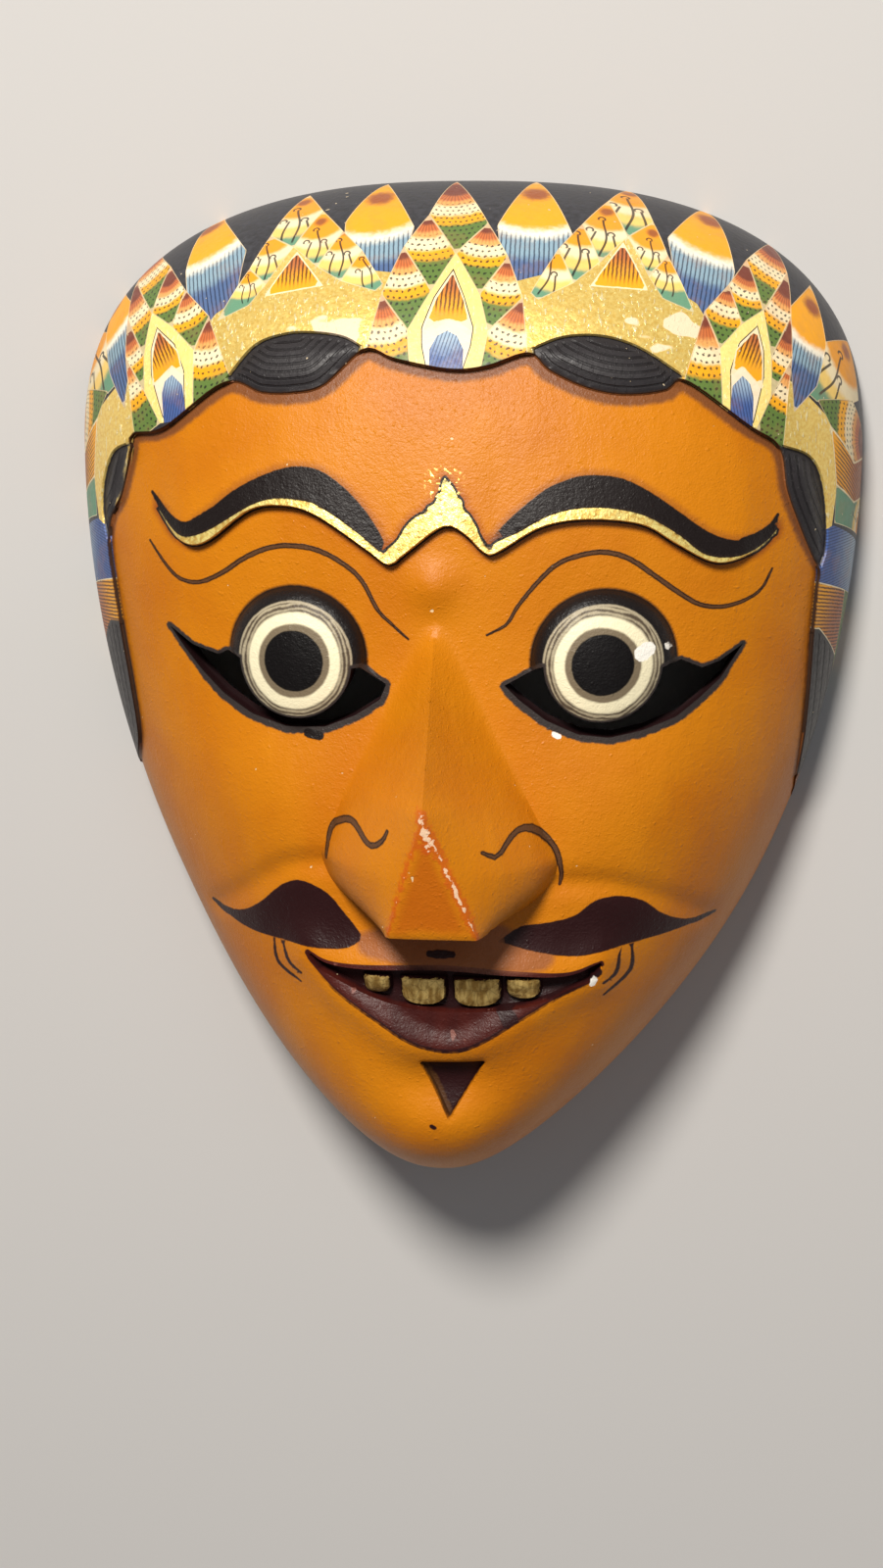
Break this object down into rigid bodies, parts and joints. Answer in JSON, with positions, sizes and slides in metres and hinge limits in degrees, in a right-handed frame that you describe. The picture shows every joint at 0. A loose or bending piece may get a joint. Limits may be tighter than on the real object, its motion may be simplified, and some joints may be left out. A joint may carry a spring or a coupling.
{
  "type": "topeng mask",
  "caption": "Carved and painted wooden dance mask with round bulging eyes, wedge nose, curled moustache and leafy diadem, hollow behind, lying face up.",
  "frame": {"origin": "centre of the flat back rim's plane, under the middle of the bounding box", "axes": "+X to the right as a viewer faces the mask, +Y from chin to crown, +Z out of the face"},
  "size_m": [0.1494, 0.19, 0.0754],
  "materials": {
    "painted_wood": "hand-painted satin over carved wood, gilt details"
  },
  "bodies": {
    "root": {"mask": "painted_wood"}
  },
  "joints": []
}
